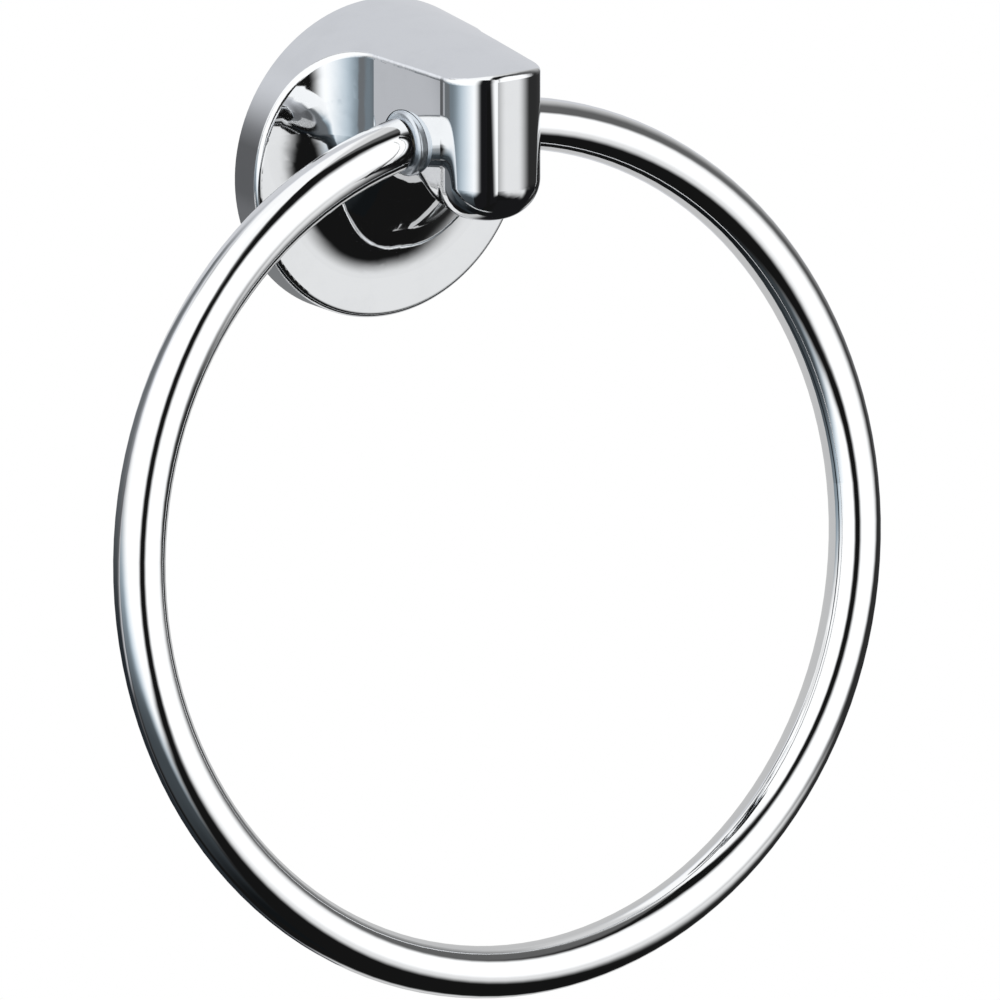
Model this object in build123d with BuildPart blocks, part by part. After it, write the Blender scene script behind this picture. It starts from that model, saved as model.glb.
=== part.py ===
from build123d import *
import os
from math import cos, radians, sin, sqrt, tan

# Towel ring on a round wall plate. Sizes in millimetres, angles in degrees.
# The wall is the plane Y = 0, the object stands out towards -Y, and +Z is up.
# A reach is a distance from the wall, and a height is measured from the plate's centre.

# Casting: plate, flared post and round nose
plate_diameter = 64.6
plate_depth = 7.7
body_draft = 2.7
post_draft = 7.6
root_flat = 1.0
nose_reach = 42.0
nose_width = 21.8
nose_floor = -2.2
nose_corner = 8.0
flare_radius = 16.5
root_floor = -25.8
rise_reach = 11.9
arch_rise = 48.0
arch_reach = 29.0
arch_height = 4.8
arch_corner = 4.0
corner_ease = 0.4
edge_round = 1.3

# Hollow back of the casting
rim_wall = 3.2
plate_wall = 2.3
post_wall = 3.6
nose_wall = 6.9

# Ring
ring_diameter = 170.0
rod_diameter = 10.5
ring_lean = 10.4
rod_chamfer = 0.5
pivot_reach = 31.6
pivot_height = 12.2

# Pivot: spigots on the rod's ends, in flanged bushes
spigot_diameter = 6.4
spigot_short = 2.1
running_clearance = 0.05
end_clearance = 0.3
bush_wall = 1.25
bush_length = 6.0
flange_diameter = 13.4
flange_depth = 2.4
flange_sink = 1.4
flange_round = 0.8
flange_clearance = 0.1

# Wall bracket, and the hook and the screw that hold the casting on it
bracket_room = 4.6
bracket_gap = 0.4
bracket_undercut = 2.4
hole_diameter = 5.0
hole_head_diameter = 9.2
hole_head_angle = 90.0
hole_spacing = 28.0
hook_back = 0.9
hook_clearance = 0.2
hook_angle = 44.0
screw_diameter = 4.0
screw_reach = 3.6
screw_sink = 0.9
screw_clearance = 0.05
screw_socket = 2.0
screw_socket_depth = 2.2
lug_width = 10.0
lug_clearance = 1.2

# Slack for cuts that run past a surface and for picking edges by their place
overrun = 1.0
pick_slack = 0.01

# Worked out from the sizes above
plate_radius = plate_diameter / 2
ring_radius = ring_diameter / 2
rod_radius = rod_diameter / 2
spigot_radius = spigot_diameter / 2
bore_radius = spigot_radius + running_clearance
bush_radius = bore_radius + bush_wall
recess_radius = plate_radius - rim_wall
recess_depth = plate_depth - plate_wall
bracket_radius = recess_radius - bracket_room
bracket_depth = recess_depth - bracket_gap
nose_tip = nose_reach + nose_width / 2
core_reach = nose_tip - nose_wall
draft_slope = tan(radians(post_draft))
root_corner = nose_width / 2 + nose_reach * draft_slope - root_flat / 2
rise_slope = tan(radians(arch_rise))
rise_height = root_floor + rise_reach * rise_slope
rise_span = arch_reach - rise_reach
post_stations = [0.0, rise_reach / 2]
post_stations += [rise_reach + rise_span * quarter / 4 for quarter in range(4)]
post_stations += [arch_reach + (nose_reach - arch_reach) * quarter / 4 for quarter in range(5)]
roof_cut = plate_radius + flare_radius
stock_side = plate_radius + 2 * flare_radius
flange_seat = nose_width / 2 + (nose_reach - pivot_reach) * draft_slope - flange_sink
flange_face = flange_seat + flange_depth
ring_end = flange_face + end_clearance
spigot_length = ring_end - flange_seat + bush_length - spigot_short
undercut_slope = bracket_undercut / bracket_depth
hook_front = bracket_depth - hook_back
hook_inside = bracket_radius - bracket_undercut + hook_clearance
hook_outside = recess_radius + rim_wall / 2
screw_top = bracket_radius - (bracket_depth - screw_reach) * undercut_slope + screw_clearance
screw_bottom = plate_radius - screw_sink
lug_depth = bracket_room - lug_clearance
ring_drop = sqrt(ring_radius**2 - ring_end**2)
ring_up = Vector(0, sin(radians(ring_lean)), cos(radians(ring_lean)))
ring_facing = Vector(0, -cos(radians(ring_lean)), sin(radians(ring_lean)))
ring_centre = Vector(0, -pivot_reach, pivot_height) - ring_up * ring_drop


def pivot_plane(side, distance):
    """Plane across the pivot axis at a distance from the middle, facing outwards on one side."""
    return Plane((side * distance, -pivot_reach, pivot_height), x_dir=(0, side, 0), z_dir=(side, 0, 0))


def half_width(reach):
    """Half the post's width, which grows towards the plate."""
    return nose_width / 2 + (nose_reach - reach) * draft_slope


def underside(reach):
    """Height of the post's underside: it rises from the plate to an arch, and drops again to the nose."""
    if reach < rise_reach:
        return root_floor + reach * rise_slope
    if reach < arch_reach:
        share = (reach - rise_reach) / rise_span
        lead = share * (1 - share) ** 2 * rise_span * rise_slope
        return rise_height + (arch_height - rise_height) * share**2 * (3 - 2 * share) + lead
    share = (reach - arch_reach) / (nose_reach - arch_reach)
    return arch_height + (nose_floor - arch_height) * share**2 * (3 - 2 * share)


def post_outline(reach):
    """Section of the post: flat sides, round lower corners, open to the stock above."""
    floor = underside(reach)
    end_floor = nose_floor if reach > arch_reach else root_floor
    end_corner = nose_corner if reach > arch_reach else root_corner
    share = ((arch_height - floor) / (arch_height - end_floor)) ** corner_ease
    with Locations((0, floor)):
        section = Rectangle(2 * half_width(reach), stock_side - floor, align=(Align.CENTER, Align.MIN))
    fillet(section.vertices().group_by(Axis.Y)[0], arch_corner + (end_corner - arch_corner) * share)


def core_outline(reach):
    """Section of the hollow in the post, which stays above the arch."""
    with Locations((0, arch_height + post_wall)):
        section = Rectangle(2 * (half_width(reach) - post_wall), stock_side, align=(Align.CENTER, Align.MIN))
    fillet(section.vertices().group_by(Axis.Y)[0], arch_corner)


# Casting
with BuildPart() as post:
    # Plate stock and drafted post with its arched underside
    with BuildSketch(Plane.XZ):
        Rectangle(2 * stock_side, 2 * stock_side)
    extrude(amount=plate_depth)
    for reach in post_stations:
        with BuildSketch(Plane.XZ.offset(reach)):
            post_outline(reach)
    loft()
    # Nose: half a turn of the post's end section
    with BuildSketch(Plane.XZ.offset(nose_reach)):
        post_outline(nose_reach)
        split(bisect_by=Plane.YZ, keep=Keep.TOP)
    revolve(axis=Axis((0, -nose_reach, 0), (0, 0, -1)), revolution_arc=180)
    split(bisect_by=Plane.XY.offset(roof_cut), keep=Keep.BOTTOM)
    # Flare from the post into the plate
    plate_front = -plate_depth
    front_edges = post.edges().filter_by_position(Axis.Y, plate_front - pick_slack, plate_front + pick_slack)
    flare_edges = front_edges.filter_by_position(Axis.X, overrun - stock_side, stock_side - overrun)
    flare_edges = flare_edges.filter_by_position(Axis.Z, overrun - stock_side, roof_cut - overrun)
    fillet(flare_edges, flare_radius)
    # Round outline of the plate, which is also the post's roof
    with BuildSketch(Plane.XZ):
        Circle(plate_radius)
    extrude(amount=nose_tip + overrun, taper=body_draft, mode=Mode.INTERSECT)
    # Fine round where the roof meets the nose, the scoop and the plate's face
    roof = post.faces().filter_by(GeomType.CONE).sort_by(SortBy.AREA)[-1]
    wall_edge = roof.edges().sort_by(Axis.Y)[-1]
    fillet([edge for edge in roof.edges() if edge != wall_edge], edge_round)
    # Hollow behind the plate, with a lug left for the locking screw
    with BuildSketch(Plane.XZ):
        Circle(recess_radius)
        with Locations((0, -recess_radius)):
            Rectangle(lug_width, 2 * lug_depth, mode=Mode.SUBTRACT)
    extrude(amount=recess_depth, mode=Mode.SUBTRACT)
    # Core up the post
    for reach in (0.0, core_reach):
        with BuildSketch(Plane.XZ.offset(reach)):
            core_outline(reach)
            Circle(plate_radius - post_wall, mode=Mode.INTERSECT)
    loft(ruled=True, mode=Mode.SUBTRACT)
    # Hook at the top of the hollow, behind the bracket's undercut edge
    for turn in (-1, 1):
        with BuildSketch(Plane.YZ):
            with BuildLine():
                Polyline(
                    (-hook_back, hook_inside + hook_back * undercut_slope),
                    (-hook_front, hook_inside + hook_front * undercut_slope),
                    (-hook_front, hook_outside),
                    (-hook_back, hook_outside),
                    close=True,
                )
            make_face()
        revolve(axis=Axis.Y, revolution_arc=turn * hook_angle / 2)
    # Cross bore and flange seats for the bushes
    with BuildSketch(Plane.YZ):
        with Locations((-pivot_reach, pivot_height)):
            Circle(bush_radius)
    extrude(amount=nose_width, both=True, mode=Mode.SUBTRACT)
    for side in (-1, 1):
        with BuildSketch(pivot_plane(side, flange_seat)):
            Circle(flange_diameter / 2 + flange_clearance)
        extrude(amount=nose_width, mode=Mode.SUBTRACT)
    # Threaded hole for the locking screw
    with BuildSketch(Plane.XY.offset(-plate_radius)):
        with Locations((0, -screw_reach)):
            Circle(screw_diameter / 2)
    extrude(amount=plate_radius - bracket_radius, mode=Mode.SUBTRACT)
post.part.label = "post"

# Ring
with BuildPart(Plane(ring_centre, x_dir=(1, 0, 0), z_dir=ring_facing)) as towel_ring:
    Torus(ring_radius, rod_radius)
    with Locations((0, ring_radius, 0)):
        Box(2 * ring_end, ring_radius, ring_radius, mode=Mode.SUBTRACT)
    rod_ends = towel_ring.faces().filter_by(GeomType.PLANE)
    chamfer(rod_ends.edges(), rod_chamfer)
    for side in (-1, 1):
        with BuildSketch(pivot_plane(-side, -ring_end)):
            Circle(spigot_radius)
        extrude(amount=spigot_length)
towel_ring.part.label = "towel_ring"


def flanged_bush(side):
    """Bush in the cross bore, with its flange between the post and the rod's end."""
    with BuildPart() as bush:
        with BuildSketch(pivot_plane(side, flange_seat)):
            Circle(flange_diameter / 2)
        extrude(amount=flange_depth)
        fillet(bush.edges().sort_by(Axis.X)[-1 if side > 0 else 0], flange_round)
        with BuildSketch(pivot_plane(side, flange_seat)):
            Circle(bush_radius)
        extrude(amount=-bush_length)
        with BuildSketch(pivot_plane(side, flange_face)):
            Circle(bore_radius)
        extrude(amount=-flange_depth - bush_length, mode=Mode.SUBTRACT)
    return bush


left_bush = flanged_bush(-1)
left_bush.part.label = "left_bush"
right_bush = flanged_bush(1)
right_bush.part.label = "right_bush"

# Wall bracket
with BuildPart() as wall_bracket:
    with BuildSketch(Plane.YZ):
        with BuildLine():
            Polyline(
                (0, 0),
                (0, bracket_radius - bracket_undercut),
                (-bracket_depth, bracket_radius),
                (-bracket_depth, 0),
                close=True,
            )
        make_face()
    revolve(axis=Axis.Y)
    with Locations(Plane.XZ.offset(bracket_depth)):
        with GridLocations(hole_spacing, 0, 2, 1):
            CounterSinkHole(hole_diameter / 2, hole_head_diameter / 2, counter_sink_angle=hole_head_angle)
wall_bracket.part.label = "wall_bracket"

# Locking screw
with BuildPart() as locking_screw:
    with BuildSketch(Plane.XZ.offset(screw_reach)):
        with BuildLine():
            Polyline(
                (0, -screw_top),
                (screw_diameter / 2, -screw_top - screw_diameter / 2),
                (screw_diameter / 2, -screw_bottom),
                (0, -screw_bottom),
                close=True,
            )
        make_face()
    revolve(axis=Axis((0, -screw_reach, 0), (0, 0, 1)))
    with BuildSketch(Plane.XY.offset(-screw_bottom)):
        with Locations((0, -screw_reach)):
            RegularPolygon(screw_socket / 2, 6, major_radius=False)
    extrude(amount=screw_socket_depth, mode=Mode.SUBTRACT)
locking_screw.part.label = "locking_screw"

os.makedirs("parts", exist_ok=True)
export_step(post.part, "parts/post.step")
export_step(towel_ring.part, "parts/towel_ring.step")
export_step(left_bush.part, "parts/left_bush.step")
export_step(right_bush.part, "parts/right_bush.step")
export_step(wall_bracket.part, "parts/wall_bracket.step")
export_step(locking_screw.part, "parts/locking_screw.step")
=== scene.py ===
from math import cos, degrees, radians, sin, sqrt, tan

import bpy
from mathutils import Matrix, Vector


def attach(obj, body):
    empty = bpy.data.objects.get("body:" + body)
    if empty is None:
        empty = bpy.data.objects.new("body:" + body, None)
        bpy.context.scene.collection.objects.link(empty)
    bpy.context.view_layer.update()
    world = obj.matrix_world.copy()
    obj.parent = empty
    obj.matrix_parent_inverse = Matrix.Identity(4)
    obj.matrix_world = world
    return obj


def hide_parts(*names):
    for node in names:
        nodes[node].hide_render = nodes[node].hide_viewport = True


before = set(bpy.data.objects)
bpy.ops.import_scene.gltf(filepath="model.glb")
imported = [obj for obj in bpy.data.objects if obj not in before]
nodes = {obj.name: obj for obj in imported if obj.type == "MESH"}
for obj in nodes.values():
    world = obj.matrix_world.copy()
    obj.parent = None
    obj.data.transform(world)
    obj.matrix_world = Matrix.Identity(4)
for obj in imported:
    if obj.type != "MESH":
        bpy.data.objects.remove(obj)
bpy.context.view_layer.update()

# Millimetres in a metre
MM = 1000.0

# Sizes that the finishes follow, in millimetres, as in the solids
PLATE_RADIUS = 32.3
RECESS_RADIUS = 29.1
RECESS_DEPTH = 5.4
NOSE_REACH = 42.0
NOSE_WIDTH = 21.8
POST_SLOPE = tan(radians(7.6))
POST_WALL = 3.6
CORE_FLOOR = 8.4
CORE_REACH = 46.0
RING_END = 13.588
PIVOT_REACH = 31.6
PIVOT_HEIGHT = 12.2
SPIGOT_RADIUS = 3.2
BORE_RADIUS = 3.25
FLANGE_SEAT = 10.888

# How far off a face its own finish begins, in millimetres
MARGIN = 0.2
FINE_MARGIN = 0.02

# Grub screw, in millimetres
SCREW_REACH = 3.6
SCREW_FOOT = -31.4
SCREW_SIZES = {
    "Pitch": 0.7,
    "Crest": 1.99,
    "Root": 1.57,
    "Length": 5.522,
    "Point": 2.0,
    "Flats": 2.0,
    "Depth": 2.2,
}
# Half the thread's width at its foot and at its crest, as shares of the pitch
THREAD_FOOT = 0.44
THREAD_TOP = 0.07
# How deep the thread sits in the core, and the radius of the point's tip, as shares of the root
THREAD_SINK = 0.02
POINT_TIP = 0.02
TURN_STEPS = 36
ROUND_SIDES = 48
HEXAGON_SIDES = 6

# Colours of the finishes, in pairs where the colour wanders between two
CASTING_CHROME = ((0.87, 0.885, 0.9), (0.84, 0.855, 0.87))
CASTING_ZINC = ((0.33, 0.335, 0.345), (0.47, 0.475, 0.48))
ROD_CHROME = ((0.88, 0.89, 0.9), (0.86, 0.87, 0.885))
BUSH_CHROME = ((0.7, 0.75, 0.8), (0.76, 0.81, 0.86))
BRACKET_ZINC = ((0.42, 0.42, 0.41), (0.56, 0.56, 0.545))
SCREW_STEEL = ((0.4, 0.4, 0.42), (0.52, 0.52, 0.53))
TURNED_BRASS = (0.72, 0.55, 0.3)
WHITE = (1.0, 1.0, 1.0)

# Roughness of the finishes
CASTING_POLISH, ROD_POLISH, SMUDGE_DULLING = 0.035, 0.03, 0.02
SATIN_ROUGHNESS, SLEEVE_ROUGHNESS, SPIGOT_ROUGHNESS = 0.27, 0.3, 0.28
HOLLOW_ROUGHNESS, BRACKET_ROUGHNESS, STEEL_ROUGHNESS = 0.5, 0.38, 0.25

# Height of the grain on bare metal, in millimetres
HOLLOW_GRAIN, BRACKET_GRAIN, STEEL_GRAIN = 0.08, 0.06, 0.01

# Lathe marks on the brass: radians a millimetre, and height in millimetres
TURNING_RATE = 24.0
TURNING_HEIGHT = 0.01

# Sockets of a Mix node for colours
MIX_FIRST, MIX_SECOND, MIX_RESULT = 6, 7, 2


class Value:
    """A socket of a node tree that Python's operators work on."""

    def __init__(self, tree, socket=None):
        self.tree = tree
        self.socket = socket

    def node(self, kind, settings=None, sockets=None, out=0):
        """Adds a node: its settings first, then the values or links of its sockets."""
        made = self.tree.nodes.new(kind)
        for name, setting in (settings or {}).items():
            setattr(made, name, setting)
        for name, given in (sockets or {}).items():
            if isinstance(given, Value):
                self.tree.links.new(given.socket, made.inputs[name])
            else:
                made.inputs[name].default_value = given
        return Value(self.tree, made.outputs[out])

    def math(self, operation, first, second=0.0):
        return self.node("ShaderNodeMath", {"operation": operation}, {0: first, 1: second})

    def __add__(self, other):
        return self.math("ADD", self, other)

    __radd__ = __add__

    def __sub__(self, other):
        return self.math("SUBTRACT", self, other)

    def __rsub__(self, other):
        return self.math("SUBTRACT", other, self)

    def __mul__(self, other):
        return self.math("MULTIPLY", self, other)

    __rmul__ = __mul__

    def __truediv__(self, other):
        return self.math("DIVIDE", self, other)

    def __pow__(self, other):
        return self.math("POWER", self, other)

    def __abs__(self):
        return self.math("ABSOLUTE", self)

    def atleast(self, other):
        return self.math("MAXIMUM", self, other)

    def atmost(self, other):
        return self.math("MINIMUM", self, other)

    def rise(self, low, high):
        """0 below low, 1 above high, smooth between them. low may be the larger, for a fall."""
        return self.node(
            "ShaderNodeMapRange",
            {"interpolation_type": "SMOOTHSTEP"},
            {"Value": self, "From Min": low, "From Max": high},
        )

    def to(self, other, share):
        """This number, or another one by its share."""
        return self + (other - self) * share

    def parts(self):
        """The three numbers of a vector."""
        split = self.node("ShaderNodeSeparateXYZ", None, {0: self}).socket.node
        return [Value(self.tree, out) for out in split.outputs]

    def times(self, factor):
        """A vector times a number."""
        return self.node("ShaderNodeVectorMath", {"operation": "SCALE"}, {0: self, "Scale": factor})

    def noise(self, scale, detail, roughness=0.5):
        """Noise from 0 to 1 at this place."""
        return self.node(
            "ShaderNodeTexNoise",
            None,
            {"Vector": self, "Scale": scale, "Detail": detail, "Roughness": roughness},
        )

    def colour(self, first, second):
        """A colour that goes from the first to the second as this number goes from 0 to 1."""
        return self.node(
            "ShaderNodeMix",
            {"data_type": "RGBA"},
            {"Factor": self, MIX_FIRST: opaque(first), MIX_SECOND: opaque(second)},
            MIX_RESULT,
        )

    def bump(self):
        """Normal of a surface raised by this height, in millimetres."""
        return self.node("ShaderNodeBump", None, {"Height": self, "Strength": 1.0, "Distance": 1.0 / MM})


def opaque(colour):
    """A colour as its socket takes it: three numbers get a fourth, and a link stays as it is."""
    return colour if isinstance(colour, Value) else (*colour, 1.0)


def finish_of(name):
    """New material, with its place in millimetres and its shader."""
    material = bpy.data.materials.new(name)
    material.use_nodes = True
    tree = material.node_tree
    place = Value(tree).node("ShaderNodeTexCoord", out="Object").times(MM)
    return material, place, tree.nodes["Principled BSDF"]


def feed(shader, **sockets):
    """Sets or links the shader's sockets, with the underscores in a name read as spaces."""
    tree = shader.id_data
    for name, given in sockets.items():
        socket = shader.inputs[name.replace("_", " ")]
        if isinstance(given, Value):
            tree.links.new(given.socket, socket)
        else:
            socket.default_value = given


def metal(shader, colour, roughness, height):
    """Gives a shader a metal's colour, roughness and fine relief."""
    feed(shader, Base_Color=colour, Metallic=1.0, Roughness=roughness, Normal=height.bump())


def smudges(place, scale):
    """Faint patches where the polish is dulled."""
    return place.noise(scale, detail=4.0, roughness=0.6).rise(0.45, 0.75)


def mottled(noise, colours):
    """Colour that wanders between two."""
    return noise.rise(0.3, 0.7).colour(*colours)


def turning_marks(x, share):
    """Height of the rings that a lathe leaves along X."""
    return x.math("SINE", x * TURNING_RATE) * share * TURNING_HEIGHT


def chrome_casting():
    """Polished chrome outside, and the bare zinc of the hollow back inside."""
    material, place, shader = finish_of("chrome_casting")
    x, y, z = place.parts()
    reach = -1.0 * y
    radius = (x * x + z * z) ** 0.5
    inside_flank = (NOSE_REACH - reach) * POST_SLOPE + NOSE_WIDTH / 2 - abs(x)
    depth = inside_flank.atmost(PLATE_RADIUS - radius)
    in_core = depth.rise(POST_WALL - 2 * MARGIN, POST_WALL - MARGIN)
    in_core = in_core * z.rise(CORE_FLOOR - 2 * MARGIN, CORE_FLOOR - MARGIN)
    in_core = in_core * reach.rise(CORE_REACH + 3 * MARGIN, CORE_REACH + 2 * MARGIN)
    in_recess = radius.rise(RECESS_RADIUS + MARGIN, RECESS_RADIUS + MARGIN / 2)
    in_recess = in_recess * reach.rise(RECESS_DEPTH + 1.5 * MARGIN, RECESS_DEPTH + MARGIN)
    bare = in_core.atleast(in_recess)
    smudge = smudges(place, scale=0.11)
    grain = place.noise(scale=2.2, detail=5.0, roughness=0.65)
    colour = bare.colour(smudge.colour(*CASTING_CHROME), mottled(grain, CASTING_ZINC))
    polish = smudge * SMUDGE_DULLING + CASTING_POLISH
    roughness = polish.to(grain * 0.1 + HOLLOW_ROUGHNESS, bare)
    metal(shader, colour, roughness, grain * HOLLOW_GRAIN * bare)
    return material


def chrome_rod():
    """Polished chrome on the bent rod, and turned brass on the spigots."""
    material, place, shader = finish_of("chrome_rod")
    x, _, z = place.parts()
    spigot_foot = PIVOT_HEIGHT - SPIGOT_RADIUS
    spigot = abs(x).rise(RING_END - FINE_MARGIN, RING_END - 3 * FINE_MARGIN)
    spigot = spigot * z.rise(spigot_foot - 5 * MARGIN, spigot_foot)
    smudge = smudges(place, scale=0.08)
    colour = spigot.colour(smudge.colour(*ROD_CHROME), TURNED_BRASS)
    polish = smudge * SMUDGE_DULLING + ROD_POLISH
    metal(shader, colour, polish.to(SPIGOT_ROUGHNESS, spigot), turning_marks(x, spigot))
    return material


def satin_bush():
    """Satin chrome on the flange, and turned brass in the bore and on the sleeve."""
    material, place, shader = finish_of("satin_bush")
    x, y, z = place.parts()
    off_axis = ((y + PIVOT_REACH) ** 2.0 + (z - PIVOT_HEIGHT) ** 2.0) ** 0.5
    behind_flange = abs(x).rise(FLANGE_SEAT + FINE_MARGIN, FLANGE_SEAT - FINE_MARGIN)
    in_bore = off_axis.rise(BORE_RADIUS + MARGIN / 2, BORE_RADIUS + MARGIN / 4)
    sleeve = behind_flange.atleast(in_bore)
    fine = place.noise(scale=5.0, detail=3.0)
    colour = sleeve.colour(mottled(fine, BUSH_CHROME), TURNED_BRASS)
    satin = fine * 0.06 + SATIN_ROUGHNESS
    metal(shader, colour, satin.to(SLEEVE_ROUGHNESS, sleeve), turning_marks(x, sleeve))
    return material


def cast_zinc():
    """Bare die-cast zinc of the bracket."""
    material, place, shader = finish_of("cast_zinc")
    grain = place.noise(scale=1.8, detail=5.0, roughness=0.65)
    flow = place.noise(scale=0.12, detail=3.0, roughness=0.6)
    roughness = grain * 0.2 + BRACKET_ROUGHNESS
    metal(shader, mottled(flow, BRACKET_ZINC), roughness, grain * BRACKET_GRAIN)
    return material


def plain_steel():
    """Turned stainless steel of the grub screw."""
    material, place, shader = finish_of("plain_steel")
    fine = place.noise(scale=8.0, detail=4.0)
    roughness = fine * 0.15 + STEEL_ROUGHNESS
    metal(shader, mottled(fine, SCREW_STEEL), roughness, fine * STEEL_GRAIN)
    return material


bush_finish = satin_bush()
steel = plain_steel()
finishes = {
    "post": chrome_casting(),
    "towel_ring": chrome_rod(),
    "left_bush": bush_finish,
    "right_bush": bush_finish,
    "wall_bracket": cast_zinc(),
    "locking_screw": steel,
}
for node, finish in finishes.items():
    slots = nodes[node].data.materials
    slots.clear()
    slots.append(finish)


def threaded_screw():
    """Node group of a grub screw on its foot: wound thread, core with a hexagon socket, cone point."""
    tree = bpy.data.node_groups.new("threaded_screw", "GeometryNodeTree")
    tree.interface.new_socket("Screw", in_out="OUTPUT", socket_type="NodeSocketGeometry")
    for name in SCREW_SIZES:
        tree.interface.new_socket(name, in_out="INPUT", socket_type="NodeSocketFloat")
    start = Value(tree)
    given = tree.nodes.new("NodeGroupInput").outputs
    pitch, crest, root, length, point, flats, depth = [Value(tree, given[name]) for name in SCREW_SIZES]

    def spot(x=0.0, y=0.0, z=0.0):
        return start.node("ShaderNodeCombineXYZ", None, {0: x, 1: y, 2: z})

    def moved(shape, shift):
        return start.node("GeometryNodeTransform", None, {"Geometry": shape, "Translation": shift})

    def round_bar(sides, radius, height):
        return start.node(
            "GeometryNodeMeshCylinder", None, {"Vertices": sides, "Radius": radius, "Depth": height}
        )

    climb = length - pitch
    path = start.node(
        "GeometryNodeCurveSpiral",
        None,
        {
            "Resolution": TURN_STEPS,
            "Rotations": climb / pitch,
            "Start Radius": root,
            "End Radius": root,
            "Height": climb,
        },
    )
    path = start.node("GeometryNodeSetCurveNormal", {"mode": "Z_UP"}, {"Curve": path})
    outer = root - crest
    inner = root * THREAD_SINK
    ridge = start.node(
        "GeometryNodeCurvePrimitiveQuadrilateral",
        {"mode": "POINTS"},
        {
            "Point 1": spot(inner, pitch * THREAD_FOOT),
            "Point 2": spot(outer, pitch * THREAD_TOP),
            "Point 3": spot(outer, pitch * -THREAD_TOP),
            "Point 4": spot(inner, pitch * -THREAD_FOOT),
        },
    )
    thread = start.node(
        "GeometryNodeCurveToMesh", None, {"Curve": path, "Profile Curve": ridge, "Fill Caps": True}
    )
    core = moved(round_bar(ROUND_SIDES, root, length), spot(z=length / 2.0))
    hexagon = round_bar(HEXAGON_SIDES, flats / sqrt(3.0), depth * 2.0)
    cut = start.node(
        "GeometryNodeMeshBoolean",
        {"operation": "DIFFERENCE", "solver": "EXACT"},
        {"Mesh 1": core, "Mesh 2": hexagon},
    )
    tip = start.node(
        "GeometryNodeMeshCone",
        None,
        {"Vertices": ROUND_SIDES, "Radius Top": root * POINT_TIP, "Radius Bottom": crest, "Depth": point},
    )
    raised = moved(thread, spot(z=pitch / 2.0))
    whole = start.node("GeometryNodeJoinGeometry", None, {"Geometry": raised})
    for shape in (cut, moved(tip, spot(z=length))):
        tree.links.new(shape.socket, whole.socket.node.inputs["Geometry"])
    real = start.node("GeometryNodeRealizeInstances", None, {"Geometry": whole})
    flat = start.node("GeometryNodeSetShadeSmooth", None, {"Geometry": real, "Shade Smooth": False})
    placed = moved(flat, (0.0, -SCREW_REACH / MM, SCREW_FOOT / MM))
    done = start.node("GeometryNodeSetMaterial", None, {"Geometry": placed, "Material": steel})
    tree.links.new(done.socket, tree.nodes.new("NodeGroupOutput").inputs["Screw"])
    return tree


def wound_screw():
    """The grub screw as a plain mesh."""
    piece = bpy.data.objects.new("threaded_locking_screw", bpy.data.meshes.new("screw_start"))
    bpy.context.scene.collection.objects.link(piece)
    winding = piece.modifiers.new("winding", "NODES")
    winding.node_group = threaded_screw()
    for socket in winding.node_group.interface.items_tree:
        if socket.in_out == "INPUT":
            winding[socket.identifier] = SCREW_SIZES[socket.name] / MM
    made = piece.evaluated_get(bpy.context.evaluated_depsgraph_get())
    mesh = bpy.data.meshes.new_from_object(made)
    piece.modifiers.clear()
    piece.data = mesh
    mesh.name = "threaded_locking_screw"
    return piece


screw = wound_screw()
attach(screw, "wall_part")
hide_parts("locking_screw")

# Compass directions of the studio's lights and walls, in degrees from +X towards +Y
EAST = 0.0
RIGHT_WALL_AT = 20.0
SHEET_SEAM_AT = 60.0
GROUND_PATCH_AT = 61.0
NORTH = 90.0
SHEET_AT = 130.0
HAZE_AT = 180.0
LEFT_BOX_AT = 190.0
RIGHT_BOX_AT = 295.0

# Levels in the studio, where 1 is white
UNLIT = 0.008
MATT_LEVEL = 0.8
BACKGROUND_LEVEL = 1.0
HAZE_LOW, HAZE_HIGH, HAZE_GLOW = 0.06, 0.9, 0.3
RIGHT_WALL_LOW, RIGHT_WALL_HIGH, RIGHT_WALL_BACK = 0.02, 0.1, 0.5
BACK_WALL_LEVEL, BACK_WALL_LEAST = 0.68, 0.12
BACK_WALL_SHADE, BACK_WALL_FALL = 0.52, 0.14
GROUND_PATCH_LEVEL = 0.7
SHEET_LEVEL, SHEET_GAIN = 0.72, 0.36
LEFT_BOX_LEVEL = 1.16
RIGHT_BOX_LEVEL, RIGHT_BOX_GAIN = 0.84, 0.32
COOL_WALL = (0.975, 0.99, 1.035)
TEAL_HAZE = (0.82, 0.99, 1.12)


class Sky:
    """Where a reflected ray goes, as height and bearing. The lights' edges are given in these degrees."""

    def __init__(self, tree):
        self.x, self.y, z = Value(tree).node("ShaderNodeTexCoord", out="Generated").parts()
        self.height = z.math("ARCSINE", z.atmost(1.0).atleast(-1.0)) * degrees(1.0)

    def bearing(self, middle):
        """Degrees to the left of a compass direction."""
        turn = radians(middle)
        ahead = self.x * cos(turn) + self.y * sin(turn)
        aside = self.y * cos(turn) - self.x * sin(turn)
        return self.x.math("ARCTAN2", aside, ahead) * degrees(1.0)

    def below(self):
        """Share of a softbox's lean, which comes in under the horizon."""
        return self.height.rise(-6.0, -18.0)


def left_haze(sky):
    """Level and share of the hazy room to the left, brighter upwards, with a glow under the horizon."""
    height, across = sky.height, sky.bearing(HAZE_AT)
    level = height.rise(-72.0, -38.0) * HAZE_LOW + height.rise(-38.0, 44.0) * HAZE_HIGH
    glow = across.rise(-22.0, 8.0) * height.rise(-27.0, -14.0) * height.rise(6.0, -10.0)
    return level + glow * HAZE_GLOW, abs(across).rise(52.0, 32.0)


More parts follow.
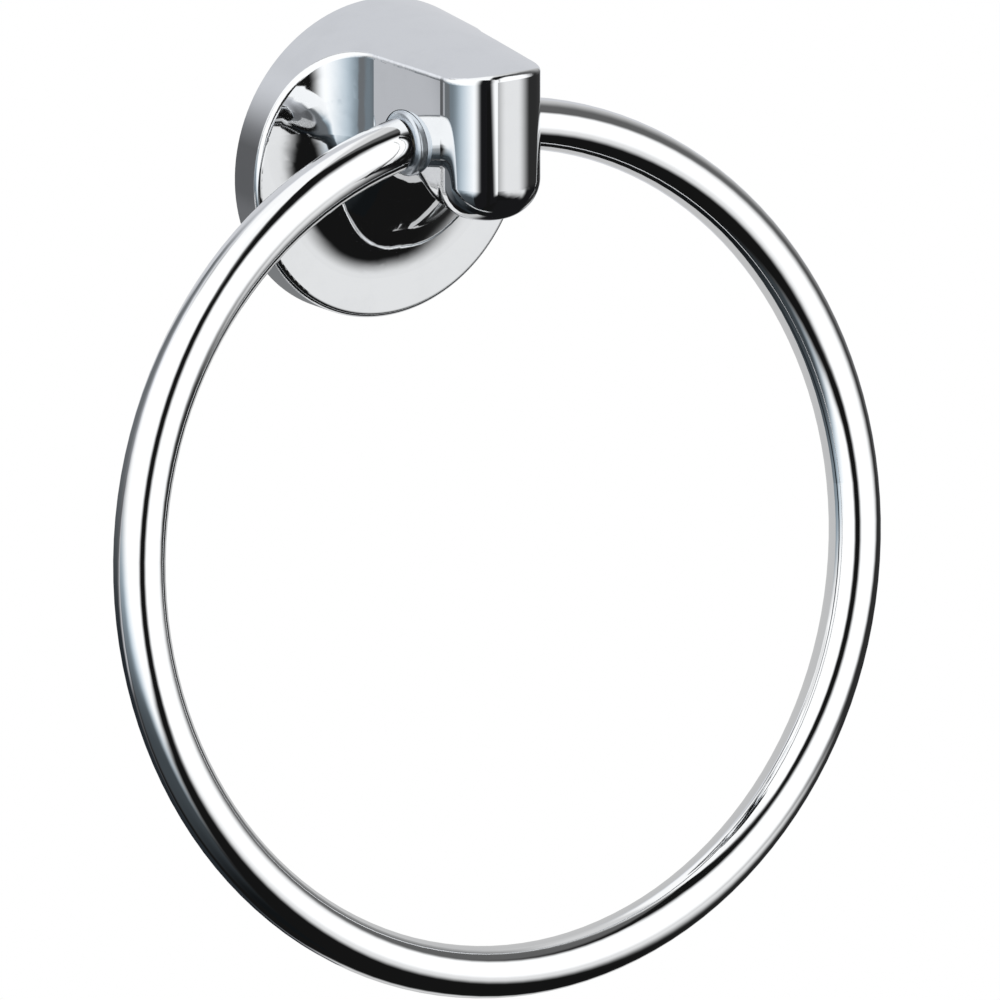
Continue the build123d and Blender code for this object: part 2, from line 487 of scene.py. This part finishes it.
def right_wall(sky):
    """Level and share of the dim room to the right, which is paler towards the back."""
    height = sky.height
    level = height.rise(-52.0, -25.0) * RIGHT_WALL_LOW + height.rise(-8.0, 20.0) * RIGHT_WALL_HIGH
    back = sky.bearing(EAST).rise(2.0, 45.0) * height.rise(-20.0, 8.0)
    return level + back * RIGHT_WALL_BACK, abs(sky.bearing(RIGHT_WALL_AT)).rise(62.0, 40.0)


def back_wall(sky):
    """Level and share of the wall behind the object, a cone round +Y, with a soft shade on its left."""
    height, across = sky.height, sky.bearing(NORTH)
    turn_in = height.rise(-8.0, -20.0) * height.rise(-44.0, -38.0) * 24.0
    shade = (across + turn_in).rise(5.0, 25.0)
    shade = shade * sky.y.rise(0.64, 0.72).atleast(height.rise(-22.0, -30.0)) * height.rise(45.0, -12.0)
    level = BACK_WALL_LEVEL - shade * BACK_WALL_SHADE - across.rise(30.0, 48.0) * BACK_WALL_FALL
    return level.atleast(BACK_WALL_LEAST), sky.y.rise(0.6, 0.63)


def ground_patch(sky):
    """Level and share of a pale patch of ground behind the object."""
    height = sky.height
    share = abs(sky.bearing(GROUND_PATCH_AT)).rise(22.0, 10.0)
    return GROUND_PATCH_LEVEL, share * height.rise(-68.0, -52.0) * height.rise(-10.0, -22.0)


def overhead_sheet(sky):
    """Level and share of the white sheet overhead, which is brighter on its left."""
    level = sky.bearing(SHEET_SEAM_AT).rise(-5.0, 10.0) * SHEET_GAIN + SHEET_LEVEL
    return level, sky.height.rise(44.0, 54.0) * abs(sky.bearing(SHEET_AT)).rise(122.0, 95.0)


def left_softbox(sky):
    """Level and share of the left softbox, whose near side leans and whose top and foot slant."""
    height, across, low = sky.height, sky.bearing(LEFT_BOX_AT), sky.below()
    near_side = (across - 46.5 + low * 9.0 + height.rise(-18.0, -27.0) * 6.0) * (1.0 - low * 0.45)
    share = near_side.rise(6.5, -6.5) * across.rise(-80.0, -50.0)
    share = share * (height + (across + 10.0).atleast(0.0) * 0.3).rise(84.0, 72.0)
    return LEFT_BOX_LEVEL, share * (height + across * 0.62).rise(-30.0, 3.0)


def right_softbox(sky):
    """Level and share of the right softbox, dimmer at its foot, with slanting corners."""
    height, across = sky.height, sky.bearing(RIGHT_BOX_AT)
    dip = height.rise(-6.0, -15.0) * height.rise(-25.0, -18.0)
    share = (across + sky.below() * 7.0).rise(-40.0, -26.0) * (across + dip * 18.0).rise(66.0, 30.0)
    top = height + (across - 10.0).atleast(0.0) * 0.9 + (-10.0 - across).atleast(0.0) * 0.7
    foot = height + across.atleast(0.0).atmost(40.0) * 0.15 - (-8.0 - across).atleast(0.0) * 0.5
    level = height.rise(-19.0, -6.0) * RIGHT_BOX_GAIN + RIGHT_BOX_LEVEL
    return level, share * top.rise(67.0, 49.0) * foot.rise(-39.0, -19.0)


def studio():
    """White background, and the studio round it that the metals reflect."""
    world = bpy.data.worlds.new("studio")
    bpy.context.scene.world = world
    world.use_nodes = True
    tree = world.node_tree
    sky = Sky(tree)
    glow, haze = left_haze(sky)
    dim, side = right_wall(sky)
    wall_level, wall = back_wall(sky)
    left_level, left_box = left_softbox(sky)
    light = haze * glow + UNLIT
    light = light.to(dim + UNLIT, side * (1.0 - haze))
    light = light.to(wall_level, wall)
    light = light.to(*ground_patch(sky))
    light = light.to(*overhead_sheet(sky))
    light = light.to(left_level, left_box)
    light = light.to(*right_softbox(sky))
    teal = haze * sky.height.rise(12.0, -8.0) * (1.0 - left_box) * (1.0 - wall)
    tint = teal.colour(wall.colour(WHITE, COOL_WALL), TEAL_HAZE)
    paths = Value(tree).node("ShaderNodeLightPath").socket.node.outputs
    glossy = Value(tree, paths["Is Glossy Ray"])
    clear_view = Value(tree, paths["Is Camera Ray"]).atleast(Value(tree, paths["Is Transmission Ray"]))
    level = (glossy * (light - MATT_LEVEL) + MATT_LEVEL).to(BACKGROUND_LEVEL, clear_view)
    feed(tree.nodes["Background"], Color=glossy.colour(WHITE, tint), Strength=level)


studio()

# Floor, in metres
FLOOR_HEIGHT = -0.5
FLOOR_SIDE = 6.0
FLOOR_COLOUR = (0.9, 0.9, 0.9)
FLOOR_ROUGHNESS = 0.8


def pale_floor():
    """Finish of a pale floor that is white to the camera and clear from below."""
    material = bpy.data.materials.new("pale_floor")
    material.use_nodes = True
    tree = material.node_tree
    start = Value(tree)
    shader = tree.nodes["Principled BSDF"]
    feed(shader, Base_Color=opaque(FLOOR_COLOUR), Roughness=FLOOR_ROUGHNESS)
    to_camera = start.node("ShaderNodeLightPath", out="Is Camera Ray")
    from_below = start.node("ShaderNodeNewGeometry", out="Backfacing")
    white = start.node("ShaderNodeEmission", None, {"Color": opaque(WHITE), "Strength": 1.0})
    clear = start.node("ShaderNodeBsdfTransparent")
    matt = Value(tree, shader.outputs[0])
    lit = start.node("ShaderNodeMixShader", None, {0: to_camera, 1: matt, 2: white})
    whole = start.node("ShaderNodeMixShader", None, {0: from_below, 1: lit, 2: clear})
    tree.links.new(whole.socket, tree.nodes["Material Output"].inputs["Surface"])
    return material


bpy.ops.mesh.primitive_plane_add(size=FLOOR_SIDE, location=(0, 0, FLOOR_HEIGHT))
floor = bpy.context.object
floor.name = "floor"
floor.data.materials.append(pale_floor())
floor.visible_glossy = False

# Cards round the object that only reflections show, in millimetres
CARD_BEHIND = 20.0
PALE_LEFT, PALE_RIGHT = -12.0, 120.0
PALE_LOW, PALE_HIGH = -260.0, -60.0
RIM_LEFT, RIM_RIGHT = -44.0, 8.0
RIM_LOW, RIM_HIGH = -49.0, -32.0
ARC_BEHIND = 4.0
ARC_INNER, ARC_OUTER = 44.5, 68.0
ARC_START, ARC_END = 190.0, 268.0
ARC_STEPS = 12
DARK_LEFT, DARK_RIGHT = -180.0, -20.0
DARK_LOW, DARK_HIGH = -240.0, 60.0
RING_MIDDLE = -80.0
FOOT_LEFT, FOOT_RIGHT = -7.0, 15.0
FOOT_FRONT, FOOT_BACK = -62.0, -39.0
FOOT_HEIGHT = -5.5
GAP_START, GAP_END = (-9.28, -50.16), (-4.5, -58.92)
GAP_LOW, GAP_HIGH = -4.0, 33.0
CORNER_START, CORNER_END = (8.5, -57.5), (13.2, -50.0)
CORNER_LOW, CORNER_HIGH = -12.0, 4.5

# Colours of the cards
PALE = (0.58, 0.58, 0.58)
PALE_ARC = (0.85, 0.85, 0.85)
RIM_GREY = (0.21, 0.215, 0.22)
SIDE_DARK, SIDE_GREY = (0.02, 0.025, 0.03), (0.16, 0.17, 0.18)
DARK = (0.01, 0.01, 0.011)
BRIGHT = (1.1, 1.1, 1.1)


def studio_card(name, points, faces, paint):
    """Glowing card that the camera doesn't see. Its paint gives its colour and how much is there."""
    mesh = bpy.data.meshes.new(name)
    mesh.from_pydata([(x / MM, y / MM, z / MM) for x, y, z in points], [], faces)
    card = bpy.data.objects.new(name, mesh)
    bpy.context.scene.collection.objects.link(card)
    finish, place, _ = finish_of(name)
    tree = finish.node_tree
    colour, share = paint(place)
    glow = place.node("ShaderNodeEmission", None, {"Color": opaque(colour)})
    clear = place.node("ShaderNodeBsdfTransparent")
    whole = place.node("ShaderNodeMixShader", None, {0: share, 1: clear, 2: glow})
    tree.links.new(whole.socket, tree.nodes["Material Output"].inputs["Surface"])
    mesh.materials.append(finish)
    card.visible_camera = False
    card.visible_diffuse = False
    card.visible_transmission = False
    card.visible_shadow = False


def even(colour):
    """Paint of one colour all over a card."""
    return lambda place: (colour, 1.0)


def left_shade(place):
    """Dark band that follows the ring's left side and fades out at its edges."""
    x, _, z = place.parts()
    off_middle = (x * x + (z - RING_MIDDLE) ** 2.0) ** 0.5
    inner = off_middle - (z + 60.0).atleast(0.0) * 0.6
    outer = off_middle + (z + 90.0).atmost(0.0) * 0.25
    band = inner.rise(64.0, 74.0) * z.rise(50.0, 20.0) * outer.rise(142.0, 122.0) * z.rise(-235.0, -205.0)
    return z.rise(-100.0, -20.0).colour(SIDE_DARK, SIDE_GREY), band


def foot_shade(place):
    """Dark patch under the nose, which fades out to both sides and towards the wall."""
    x, y, _ = place.parts()
    return DARK, x.rise(-6.0, -3.0) * x.rise(14.0, 8.0) * y.rise(-40.0, -45.0)


def gap_shade(place):
    """Dark strip at the nose's front left, wider at its foot, with a slit and a bright far end."""
    _, y, z = place.parts()
    far_end = (y + (20.0 - z) * 0.05).rise(-55.0, -57.3) * z.rise(1.0, 3.5)
    near_end = (y - (5.0 - z).atleast(0.0) * 0.8).rise(-50.3, -52.3)
    off_slit = y.rise(-54.0, -53.4).atleast(z.rise(25.0, 27.0)).atleast(y.rise(-54.6, -55.2))
    return far_end.colour(DARK, BRIGHT), near_end * off_slit * y.rise(-58.9, -58.3)


def corner_shade(place):
    """Dark strip at the nose's lower right."""
    _, y, z = place.parts()
    return DARK, y.rise(-57.3, -55.0) * z.rise(4.5, 1.5)


def upright(start, end, low, high):
    """Corners of an upright card between two points of the plan."""
    return [(*start, low), (*end, low), (*end, high), (*start, high)]


def facing(left, right, behind, low, high):
    """Corners of an upright card that faces the object from the wall."""
    return upright((left, behind), (right, behind), low, high)


def arc_points():
    """Points of a flat arc round the plate, by turns on its inner and outer edge."""
    for step in range(ARC_STEPS + 1):
        angle = radians(ARC_START + (ARC_END - ARC_START) * step / ARC_STEPS)
        for reach in (ARC_INNER, ARC_OUTER):
            yield reach * cos(angle), ARC_BEHIND, reach * sin(angle)


one_face = [(0, 1, 2, 3)]
arc_faces = [(2 * i, 2 * i + 1, 2 * i + 3, 2 * i + 2) for i in range(ARC_STEPS)]
foot_corners = [
    (FOOT_LEFT, FOOT_FRONT, FOOT_HEIGHT),
    (FOOT_RIGHT, FOOT_FRONT, FOOT_HEIGHT),
    (FOOT_RIGHT, FOOT_BACK, FOOT_HEIGHT),
    (FOOT_LEFT, FOOT_BACK, FOOT_HEIGHT),
]
pale_corners = facing(PALE_LEFT, PALE_RIGHT, CARD_BEHIND, PALE_LOW, PALE_HIGH)
dark_corners = facing(DARK_LEFT, DARK_RIGHT, ARC_BEHIND, DARK_LOW, DARK_HIGH)
gap_corners = upright(GAP_START, GAP_END, GAP_LOW, GAP_HIGH)
low_right_corners = upright(CORNER_START, CORNER_END, CORNER_LOW, CORNER_HIGH)
rim_corners = facing(RIM_LEFT, RIM_RIGHT, CARD_BEHIND, RIM_LOW, RIM_HIGH)
studio_card("pale_card", pale_corners, one_face, even(PALE))
studio_card("pale_arc", arc_points(), arc_faces, even(PALE_ARC))
studio_card("dark_card", dark_corners, one_face, left_shade)
studio_card("nose_foot_shade", foot_corners, one_face, foot_shade)
studio_card("nose_gap_shade", gap_corners, one_face, gap_shade)
studio_card("nose_corner_shade", low_right_corners, one_face, corner_shade)
studio_card("rim_shade", rim_corners, one_face, even(RIM_GREY))

# Camera at the photograph's angle, in metres, with its sensor in millimetres
VIEW_TURN = radians(33.484)
VIEW_HEIGHT = radians(17.063)
VIEW_DISTANCE = 9.0
FRAME_WIDTH = 0.19994
SENSOR = 36.0
AIM_RIGHT = 0.025995
AIM_DOWN = 0.069179
FAR_LIMIT = 100.0


def place_camera():
    """Camera far away with a long lens, aimed so that the frame is the photograph's."""
    level = cos(VIEW_HEIGHT)
    toward = Vector((-sin(VIEW_TURN) * level, -cos(VIEW_TURN) * level, sin(VIEW_HEIGHT)))
    across = Vector((cos(VIEW_TURN), -sin(VIEW_TURN), 0.0))
    upward = toward.cross(across)
    camera = bpy.data.objects.new("camera", bpy.data.cameras.new("camera"))
    bpy.context.scene.collection.objects.link(camera)
    camera.data.sensor_width = SENSOR
    camera.data.lens = SENSOR * VIEW_DISTANCE / FRAME_WIDTH
    camera.data.clip_end = FAR_LIMIT
    camera.location = across * AIM_RIGHT - upward * AIM_DOWN + toward * VIEW_DISTANCE
    camera.rotation_mode = "QUATERNION"
    camera.rotation_quaternion = (-toward).to_track_quat("-Z", "Y")
    bpy.context.scene.camera = camera


place_camera()

# Lamp, in metres and watts
LAMP_SIDE = 1.2
LAMP_POWER = 12.0
LAMP_PLACE = (-0.9, -1.3, 1.2)


def hang_lamp():
    """One soft lamp for the matt pieces, aimed at the origin, which the chrome doesn't show."""
    lamp = bpy.data.objects.new("softbox", bpy.data.lights.new("softbox", "AREA"))
    bpy.context.scene.collection.objects.link(lamp)
    lamp.data.size = LAMP_SIDE
    lamp.data.energy = LAMP_POWER
    lamp.location = LAMP_PLACE
    lamp.rotation_mode = "QUATERNION"
    lamp.rotation_quaternion = (-lamp.location).to_track_quat("-Z", "Y")
    lamp.visible_glossy = False


hang_lamp()

bpy.context.scene.view_settings.view_transform = "Standard"
